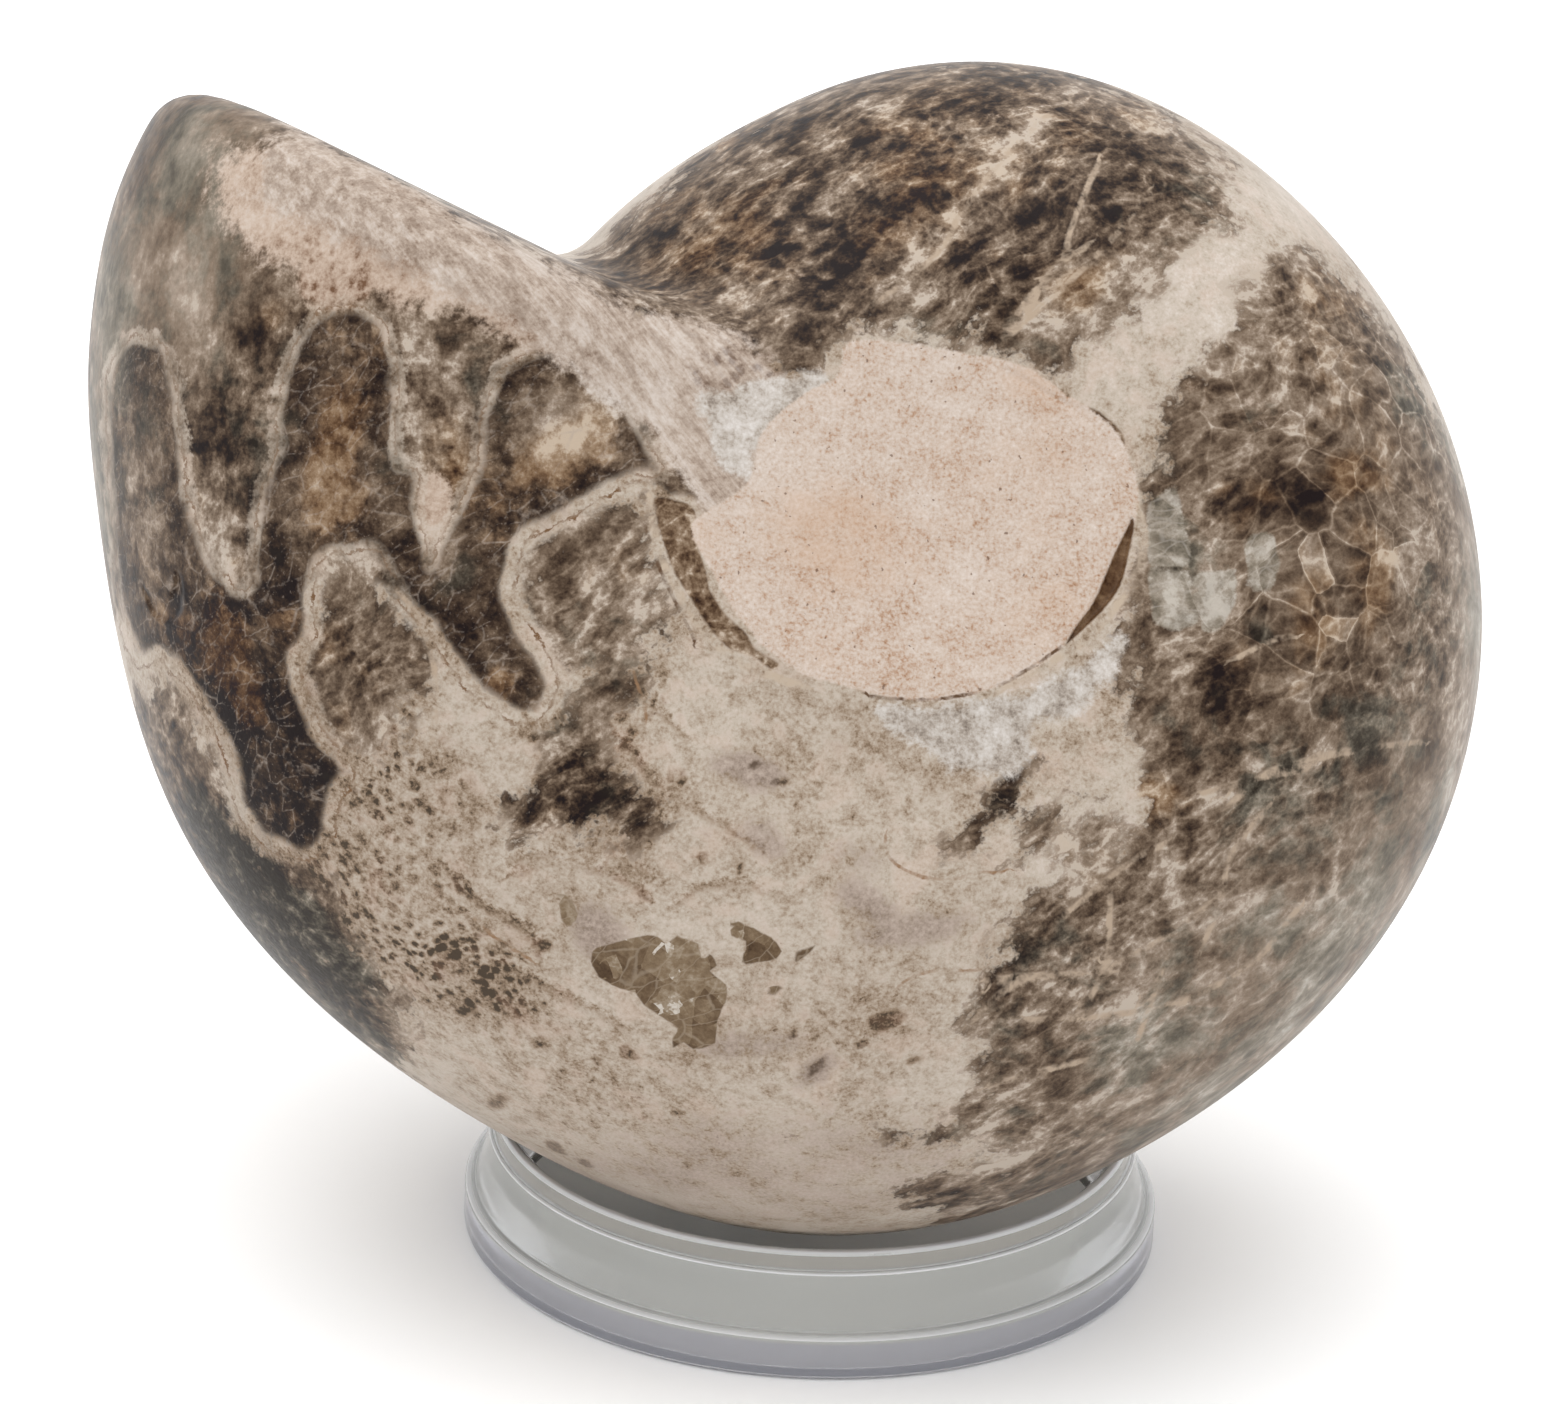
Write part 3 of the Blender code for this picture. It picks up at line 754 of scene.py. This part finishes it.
class Paint:
    """A material's nodes."""

    def __init__(self, name):
        self.material = bpy.data.materials.new(name)
        self.material.use_nodes = True
        self.tree = self.material.node_tree

    def put(self, socket, source):
        """Links a socket, or gives it a number, a vector as a list, or a screen colour as a tuple."""
        if isinstance(source, Value):
            source = source.socket
        if isinstance(source, tuple):
            source = shade(source)
        if isinstance(source, bpy.types.NodeSocket):
            self.tree.links.new(source, socket)
        else:
            socket.default_value = source

    def add(self, kind, inputs, **settings):
        node = self.tree.nodes.new("ShaderNode" + kind)
        for name, value in settings.items():
            setattr(node, name, value)
        for name, source in inputs.items():
            self.put(node.inputs[name], source)
        return node

    def finish(self, inputs):
        """The material, once its shader has these inputs."""
        for name, source in inputs.items():
            self.put(self.tree.nodes["Principled BSDF"].inputs[name], source)
        return self.material

    def calculate(self, operation, a, b):
        return Value(self, self.add("Math", {0: a, 1: b}, operation=operation).outputs[0])

    def attribute(self, name):
        return Value(self, self.add("Attribute", {}, attribute_name=name).outputs["Fac"])

    def place(self, name):
        return self.add("Attribute", {}, attribute_name=name).outputs["Vector"]

    def move(self, place, turn, stretch):
        """The place, turned about the coil's axis and then divided by the stretch."""
        inputs = {"Vector": place, "Angle": -radians(turn)}
        turned = self.add("VectorRotate", inputs, rotation_type="Z_AXIS").outputs[0]
        return self.add("Mapping", {"Vector": turned, "Scale": [1 / s for s in stretch]}).outputs[0]

    def clouds(self, place, size, detail, roughness=0.5):
        inputs = {"Vector": place, "Scale": 1 / size, "Detail": detail, "Roughness": roughness}
        return self.add("TexNoise", inputs).outputs

    def noise(self, place, size, detail, roughness=0.5):
        """Noise with features of this size, from about -0.5 to 0.5."""
        return Value(self, self.clouds(place, size, detail, roughness)["Fac"]) - 0.5

    def bend(self, place, size, amount, detail):
        """The place, moved about by noise."""
        colour = self.clouds(place, size, detail)["Color"]
        off = self.add("VectorMath", {0: colour, 1: [0.5] * 3}, operation="SUBTRACT").outputs[0]
        inputs = {0: off, 1: [2 * amount] * 3, 2: place}
        return self.add("VectorMath", inputs, operation="MULTIPLY_ADD").outputs[0]

    def voronoi(self, place, size, feature):
        return self.add("TexVoronoi", {"Vector": place, "Scale": 1 / size}, feature=feature).outputs

    def net(self, place, size):
        """The distance from the walls between cells of this size, in cells."""
        return Value(self, self.voronoi(place, size, "DISTANCE_TO_EDGE")["Distance"])

    def cells(self, place, size):
        """A random number from 0 to 1 for each cell, and the distance from the cell's middle, in cells."""
        cells = self.voronoi(place, size, "F1")
        number = self.add("SeparateColor", {0: cells["Color"]}).outputs[0]
        return Value(self, number), Value(self, cells["Distance"])

    def ramp(self, value, stops, albedo=ALBEDO, gloss=GLOSS):
        node = self.add("ValToRGB", {0: value})
        ramp = node.color_ramp
        for _ in range(len(stops) - 2):
            ramp.elements.new(0.5)
        for element, (place, *colour) in zip(ramp.elements, stops):
            element.position = place
            element.color = shade(colour, albedo, gloss)
        return node.outputs["Color"]

    def mix(self, part, a, b):
        return self.add("Mix", {0: part, MIX_A: a, MIX_B: b}, data_type="RGBA").outputs[MIX_RESULT]


# The stone's colours from dark to light: where each lies from 0 to 1, and its screen colour.
BROWNS = [(0, 38, 30, 25), (0.2, 62, 49, 41), (0.38, 89, 73, 60), (0.56, 117, 99, 83),
          (0.75, 147, 129, 112), (0.9, 174, 157, 141), (1, 200, 186, 171)]
AMBERS = [(0, 46, 31, 22), (0.2, 74, 52, 37), (0.38, 104, 78, 57), (0.56, 133, 106, 81),
          (0.78, 164, 139, 114), (1, 205, 186, 165)]
GREYS = [(0, 49, 43, 37), (0.2, 72, 65, 56), (0.4, 98, 91, 80), (0.6, 130, 121, 107), (0.8, 163, 153, 139),
         (1, 200, 193, 182)]
CREAMS = [(0, 82, 70, 58), (0.13, 130, 110, 91), (0.26, 162, 142, 122), (0.42, 185, 169, 152),
          (0.58, 200, 187, 172), (0.8, 213, 200, 187), (1, 227, 218, 208)]
LILACS = [(0, 104, 88, 76), (0.25, 146, 129, 116), (0.5, 178, 161, 148), (0.75, 198, 182, 169),
          (1, 216, 204, 195)]
PINKS = [(0, 120, 90, 70), (0.25, 170, 145, 126), (0.45, 192, 170, 152), (0.6, 204, 183, 166),
         (1, 221, 206, 193)]
WHITES = [(0, 104, 95, 88), (0.25, 150, 140, 131), (0.45, 184, 174, 164), (0.6, 203, 195, 187),
          (1, 234, 230, 226)]
PLUGS = [(0, 146, 106, 78), (0.22, 184, 151, 126), (0.4, 203, 181, 164), (0.56, 212, 195, 181),
         (0.8, 223, 209, 198), (1, 231, 221, 213)]
OLIVES = [(0, 74, 57, 43), (0.35, 108, 88, 68), (0.65, 138, 118, 95), (0.85, 166, 150, 130),
          (1, 214, 205, 194)]
# The ring's, from its darker bore (painted shade under the stone) through the lilac flange and the clear
# wall to its frosted edges (partly real frosting, partly painted highlight).
PLASTICS = [(0, 206, 202, 192), (0.2, 228, 225, 218), (0.3, 234, 236, 249), (0.5, 250, 253, 251),
            (1, 222, 223, 226)]


def stone():
    """The polished stone: cream, brown veined calcite, sutures, a plugged navel and a few crystals."""
    paint = Paint("polished stone")
    mark, mix, noise, ramp = paint.attribute, paint.mix, paint.noise, paint.ramp
    coil = paint.place("coil")
    bent = paint.bend(paint.place("bent"), 1.0, 0.18, 1)
    slanted = paint.move(bent, turn=38, stretch=(2.2, 1, 1.6))
    mottle = noise(bent, 1.5, 3.5, 0.63)
    blotch = noise(bent, 3.0, 2, 0.55)
    fine = noise(coil, 0.4, 2, 0.75)
    grain = noise(coil, 0.22, 1, 0.6)
    streak = noise(slanted, 1.1, 3, 0.6)
    upright = noise(paint.move(bent, turn=84, stretch=(2.6, 1, 1.5)), 1.1, 3, 0.65)
    slight = mottle * 2.2 + fine * 1.2
    tone, warm, fade, speckled, coarse, contrast = [
        mark(name) for name in ("tone", "warm", "fade", "speckled", "coarse", "contrast")
    ]

    def share(name, wobble, low, high):
        """How much of a marking shows: none below low, all above high, with an edge that wobbles."""
        return (mark(name) + slight * wobble).step(low, high)

    # Cream matrix, with brown flecks, dark pores in a honeycomb, and tan swirls.
    pore_number, pore_distance = paint.cells(bent, 0.8)
    pores = (pore_distance + pore_number * 0.2).step(0.75, 0.2)
    cream = mottle * 1.1 + fine * 0.8 + grain * 0.4 + tone * 0.4 - (blotch * 0.4 + 0.13) * speckled + 0.5
    flecks = (streak + fine * 0.8 + speckled * 0.04).step(0.19, 0.34)
    cream = cream - flecks * 0.33 - pores * (speckled * 0.52 + mottle * 0.2)
    swirl = (mark("swirl") + slight * 0.6).size().step(0.55, 0.0)
    cream = cream - swirl * mark("swirl_near").step(1.1, 0.7) * (mottle + fade * 0.12 + 0.22)
    cream = cream - share("spots", 0.9, 0.3, 0.9) * 0.42

    # Brown calcite: streaks and blotches, with a net of light veins, in cells of their own shades.
    cell = paint.cells(bent, 3.2)[0] - 0.5
    large = paint.net(bent, 3.2)
    small = paint.net(slanted, 1.1)
    shown = (fade + mottle * 2).step(-0.5, 0.5)
    veins = large.step(0.05, 0.0) * (shown * 0.08 + coarse * 0.2) + small.step(0.1, 0.0) * 0.08
    middles = small.step(0.0, 0.4) * (shown * -0.12 - 0.08)
    wisps = streak.size().step(0.03, 0.0) * (fade + 0.4) * 0.06
    brown = (streak * 1.35 + mottle * 0.6 + fine * 0.7) * (1 - coarse * 0.35)
    brown = brown + blotch * 0.8 + cell * (coarse * 0.24 + 0.1)
    brown = brown + veins + middles + wisps - pores * (fade * 0.1 + 0.06)
    brown = brown * contrast + tone * 0.6 + 0.54

    # The body chamber's sediment: mottled, in part upright.
    sediment = upright * 0.8 + mottle * 1.1 + blotch * 1.1 + fine * 0.8 - pores * 0.1
    sediment = sediment + small.step(0.1, 0.0) * 0.06
    sediment = sediment * contrast - mark("shade") * 0.24 + tone * 0.6 + 0.63
    in_body = share("body_chamber", 0.5, -0.4, 0.4)

    # The last chamber: dark along its sutures, lighter in its heart, and sugary all over.
    chamber = mark("chamber") + slight * 0.4 + grain * 0.3
    heart = (chamber + mottle * 3).step(0.6, 2.2) * (warm * 0.9 + 0.35)
    inner = fine * 0.7 + mottle * 1.0 + blotch * 0.7 + heart * 0.17 + tone * 0.6 + 0.34
    sugar = (grain + fine * 0.6 + mottle * 0.3).step(0.17, 0.28) * 0.22
    edges = small.step(0.07, 0.0) * (mottle * 4 + grain * 2 + 0.35)
    in_chamber = chamber.step(-0.1, 0.16)

    brown_share = (mark("brown") + slight * 2 + streak * 4).step(-0.5, 0.5)
    brown_share = brown_share.blend(in_body, 1.0).blend(in_chamber, 1.0)
    value = brown.blend(in_body, sediment).blend(in_chamber, inner)
    hue = warm + mottle * 1.5 + blotch + cell * (coarse * 0.5 + 0.3) + heart * in_chamber * 0.5
    calcite = mix(hue.step(0.2, 1.4), ramp(value, BROWNS), ramp(value, AMBERS))
    calcite = mix(hue.step(-0.2, -1.1), calcite, ramp(value, GREYS))
    calcite = mix(sugar.most(edges * 0.4) * in_chamber, calcite, (184, 170, 158))
    pinks = ramp(cream, PINKS)
    creams = mix((blotch * 2 + mottle).step(0.0, 0.5) * 0.6, ramp(cream, CREAMS), pinks)
    creams = mix(share("lilac", 0.9, 0.1, 0.9), creams, ramp(cream - 0.05, LILACS))
    colour = mix(brown_share, creams, calcite)
    colour = mix(share("pink", 0.5, 0.15, 0.65) * (1 - in_chamber), colour, pinks)

    # The sutures: a pale band with a brown line in it, wider and bolder away from the mouth.
    strength = fade * 0.6 + mottle * 2.2 + 0.7
    rim_near = (chamber + 0.32).size().step(0.72, 0.4) * strength * 0.8
    rim_far = (chamber + 0.55).size().step(1.0, 0.35) * in_body.step(0.6, 0.2)
    colour = mix(rim_near.most(rim_far) * 0.8, colour, creams)
    seam = (chamber + 0.7).size().step(0.14, 0.03) * in_body.step(0.6, 0.2)
    near_seam = (chamber + 0.3).size().step(0.13, 0.03) * in_body.step(0.3, 0.7)
    colour = mix(seam.most(near_seam * 0.7) * (mottle * 4 + 0.5), colour, (124, 94, 68))

    # The slope from the lip down to the older whorl, with streaks along it.
    run = noise(paint.move(coil, turn=-48, stretch=(6, 1, 1)), 0.7, 3, 0.7)
    slope = mix(0.6, ramp(run * 2.6 + fine * 0.8 + blotch * 0.6 + tone * 0.6 + 0.34, WHITES), pinks)
    colour = mix(share("mouth", 1.5, -0.8, 0.8), colour, slope)

    # White sugary calcite beside the navel.
    white = ramp(fine * 0.9 + grain * 0.4 + mottle * 1.0 + blotch * 0.6 - pores * 0.1 + 0.62, WHITES)
    colour = mix(share("granular", 0.8, -0.4, 0.4), colour, mix(0.2, white, creams))

    # Shell left round the navel's fine-grained plug, and the gap beside it.
    band = mottle * 1.8 + fine * 0.9 + small.step(0.12, 0.0) * 0.2 + 0.46
    band = mix(0.5, ramp(band, BROWNS), ramp(band + 0.05, AMBERS))
    colour = mix((mark("shell_band") + fine * 0.3).step(-0.1, 0.1), colour, band)
    plug = ramp(fine * 0.7 + grain * 0.8 + mottle * 0.4 + blotch * 0.35 + tone * 0.3 + 0.52, PLUGS)
    plug = mix((warm + mottle * 2).step(0.0, 1.4) * 0.4, plug, (205, 166, 134))
    plug = mix((pore_distance + fine * 0.6).step(0.1, 0.04) * 0.7, plug, (112, 88, 74))
    colour = mix(share("navel", 0.25, -0.12, 0.12), colour, plug)
    gap = (mark("gap") + fine * 0.2).step(-0.06, 0.1)
    colour = mix(gap, colour, ramp(mottle + fine * 0.5 + 0.4, AMBERS))

    # Crystals: olive-brown pieces with light seams.
    facet = cell * 0.5 + pore_number * 0.24 + fine * 0.6 + mottle * 0.8
    facet = facet + (pore_number - mottle).step(0.9, 1.0) * 0.3
    crystal = mix(small.step(0.05, 0.0) * 0.4, ramp(facet + 0.36, OLIVES), (176, 160, 141))
    colour = mix(share("crystal", 0.12, -0.06, 0.06), colour, crystal)

    # Glassy crystals: grey to white pieces.
    glassy = ramp(cell * 0.3 + mottle * 1.2 + blotch * 0.8 + fine * 0.5 + tone * 0.6 + 0.69, GREYS)
    glassy = mix(small.step(0.08, 0.0) * 0.35, glassy, (196, 188, 179))
    colour = mix(share("clear_crystal", 0.2, -0.1, 0.15) * 0.8, colour, glassy)

    # Thin light and dark lines.
    for name, width, tint in (
        ("light_line", 0.3, (190, 170, 149)), ("navel_light", 0.42, (200, 182, 162)),
        ("dark_line", 0.16, (152, 120, 92)), ("navel_dark", 0.18, (104, 80, 62)),
    ):
        line = (mark(name) + slight * 0.16).size().step(width, width * 0.3)
        line = line * mark(name + "_near").step(width + 0.6, width + 0.3)
        colour = mix(line * (mottle * 5 + 0.4), colour, tint)

    bump = paint.add("Bump", {"Strength": 0.25, "Distance": 0.1 * MM, "Height": noise(coil, 0.5, 1.5, 0.7)})
    return paint.finish({
        "Base Color": colour,
        "Roughness": fine * 0.3 + 0.38,
        "Specular IOR Level": 0.1,
        "Normal": bump.outputs[0],
    })


def clear_plastic():
    """Clear acrylic: a little lilac in the flange, frosted along its edges, which is partly painted
    highlight, and darker in the bore as painted shade.
    """
    paint = Paint("clear plastic")
    edge = paint.attribute("edge")
    # A positive edge value makes the corners less clear and rougher, so they show as pale lines: partly
    # real frosting, partly painted highlight.
    frost_and_highlight = edge.step(0.0, 1.0)
    place = paint.add("TexCoord", {}).outputs["Object"]
    # The colour ramp's dark end paints shade in the bore.
    return paint.finish({
        "Base Color": paint.ramp(edge * 0.5 + 0.5, PLASTICS, 1.0, 0.0),
        "Transmission Weight": frost_and_highlight * -0.6 + 0.76,
        "IOR": 1.49,
        "Roughness": paint.noise(place, 4 * MM, 3) * 0.1 + frost_and_highlight * 0.3 + 0.14,
    })


# --- The ring stand ---
# The (radius, height) corners of its outline, in millimetres, how far each is rounded, and its look,
# from -1, darker and warmer (in the bore, painted shade), to 1, frosted (pale lines, partly real
# frosting and partly painted highlight): from the bevelled seat at the top down a collar, a cove and a
# flange, along the base and up the bore.
RING_OUTLINE = [
    (22.3, 8.9, 0.1, 0.5), (22.75, 8.9, 0.1, 1), (22.9, 8.7, 0.08, 0.5), (22.93, 8.55, 0.05, -0.6),
    (23.0, 7.75, 0.05, -0.6), (23.1, 7.55, 0.06, 0.3), (23.35, 7.45, 0.06, 0.9), (23.38, 7.25, 0.05, 0),
    (23.45, 6.4, 0.3, 0), (23.65, 5.2, 0.3, 0), (23.95, 4.2, 0.3, 0), (24.2, 3.6, 0.05, 0),
    (24.25, 3.4, 0.08, 0.2), (24.88, 3.15, 0.05, 0.8), (25.0, 3.0, 0.05, 0.1), (25.0, 2.75, 0.05, -0.4),
    (25.0, 0.4, 0.15, -0.4), (24.6, 0.0, 0.15, -0.4), (21.6, 0.0, 0.2, -1), (21.6, 8.2, 0.2, -1),
]
RING_STEPS = 256
ROUNDING_STEPS = 3


def rounded(outline):
    """The outline's points, with each corner a smooth curve that starts and ends this far from it."""
    made = []
    for before, corner, after in zip(outline[-1:] + outline, outline, outline[1:] + outline[:1]):
        middle = np.array(corner[:2])
        ends = []
        for other in (before, after):
            way = np.array(other[:2]) - middle
            length = np.hypot(*way)
            ends.append(middle + way * min(corner[2], 0.45 * length) / length)
        for t in np.linspace(0, 1, ROUNDING_STEPS + 1):
            place = (1 - t) ** 2 * ends[0] + 2 * t * (1 - t) * middle + t * t * ends[1]
            made.append((*place, corner[3]))
    return np.array(made)


def build_ring():
    outline = rounded(RING_OUTLINE)
    base = np.array(ring_base())
    radius, height = outline[:, :2].T * MM
    rows = []
    for turned in np.arange(RING_STEPS) * 2 * pi / RING_STEPS:
        rows.append(base + np.stack([radius * cos(turned), radius * sin(turned), height], 1))
    mesh = skin("clear_ring", np.concatenate(rows), len(outline), closed=True)
    mesh.shade_smooth()
    looks = np.tile(outline[:, 2], RING_STEPS)
    mesh.attributes.new("edge", "FLOAT", "POINT").data.foreach_set("value", looks)
    return new_object("clear_ring", mesh)


# --- Floor, lights and camera ---
CAMERA_PLACE = (0, -442, 217.6)  # millimetres from the middle of the ring's base
CAMERA_AIM = (-3.8, 3.8, 39)
CAMERA_ROLL = 2.3
CAMERA_LENS = 156.5
SOFTBOX_PLACE = (-100, 0, 900)
SOFTBOX_AIM = (0, 0, 45)
SOFTBOX_SIZE = 1200
SOFTBOX_POWER = 6.5
WORLD_STRENGTH = 1.15


def add_camera():
    data = bpy.data.cameras.new("camera")
    data.lens = CAMERA_LENS
    camera = new_object("camera", data)
    camera.location = ring_base() + Vector(CAMERA_PLACE) * MM
    aim = ring_base() + Vector(CAMERA_AIM) * MM
    level = (aim - camera.location).to_track_quat("-Z", "Y").to_matrix()
    camera.rotation_euler = (level @ Matrix.Rotation(radians(CAMERA_ROLL), 3, "Z")).to_euler()
    bpy.context.scene.camera = camera


def add_softbox():
    data = bpy.data.lights.new("softbox", "AREA")
    data.shape = "DISK"
    data.size = SOFTBOX_SIZE * MM
    data.energy = SOFTBOX_POWER
    light = new_object("softbox", data)
    light.location = Vector(SOFTBOX_PLACE) * MM
    light.rotation_euler = (Vector(SOFTBOX_AIM) * MM - light.location).to_track_quat("-Z", "Y").to_euler()


def add_floor():
    bpy.ops.mesh.primitive_plane_add(size=4)
    floor = bpy.context.object
    floor.name = "floor"
    paint = Paint("pale floor")
    grain = paint.noise(paint.add("TexCoord", {}).outputs["Object"], 2 * MM, 3)
    white = paint.ramp(grain * 0.2 + 0.5, [(0, 249, 249, 249), (1, 252, 252, 252)], 1.0, 0.0)
    floor.data.materials.append(paint.finish({"Base Color": white, "Roughness": 0.9}))


def set_world():
    world = bpy.data.worlds.new("studio")
    world.use_nodes = True
    background = world.node_tree.nodes["Background"].inputs
    background["Color"].default_value = (1, 1, 1, 1)
    background["Strength"].default_value = WORLD_STRENGTH
    bpy.context.scene.world = world
    bpy.context.scene.view_settings.view_transform = "Standard"


add_camera()
set_world()
add_floor()
add_softbox()

fossil = build_fossil()
fossil.data.materials.append(stone())
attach(fossil, "root")
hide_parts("fossil")

ring = build_ring()
ring.data.materials.append(clear_plastic())
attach(ring, "root")
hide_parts("ring_stand")
